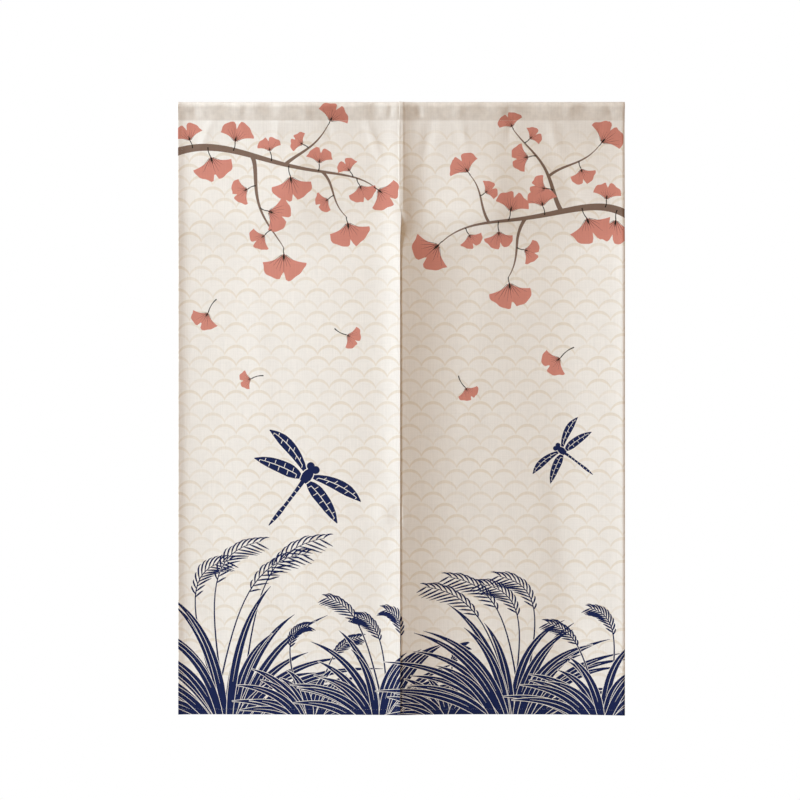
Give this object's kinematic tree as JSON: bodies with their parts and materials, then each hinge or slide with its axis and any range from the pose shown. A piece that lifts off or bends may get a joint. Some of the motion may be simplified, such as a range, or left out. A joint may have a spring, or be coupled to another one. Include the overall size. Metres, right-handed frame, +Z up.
{
  "type": "partition curtain",
  "caption": "Flat cloth partition curtain, sewn together below the top edge and slit down the middle, with hemmed edges and an open rod pocket along its top.",
  "frame": {"origin": "the middle of the curtain's top edge", "axes": "+Z up, +X to the right as seen from the front, the printed front faces -Y"},
  "size_m": [0.8501, 0.024, 1.167],
  "materials": {
    "printed_linen": "matt linen-look weave, off-white, with a pale fish-scale ground print and coral, brown and navy motifs"
  },
  "bodies": {
    "root": {"left_panel": "printed_linen", "right_panel": "printed_linen", "left_heading": "printed_linen", "right_heading": "printed_linen"}
  },
  "joints": []
}
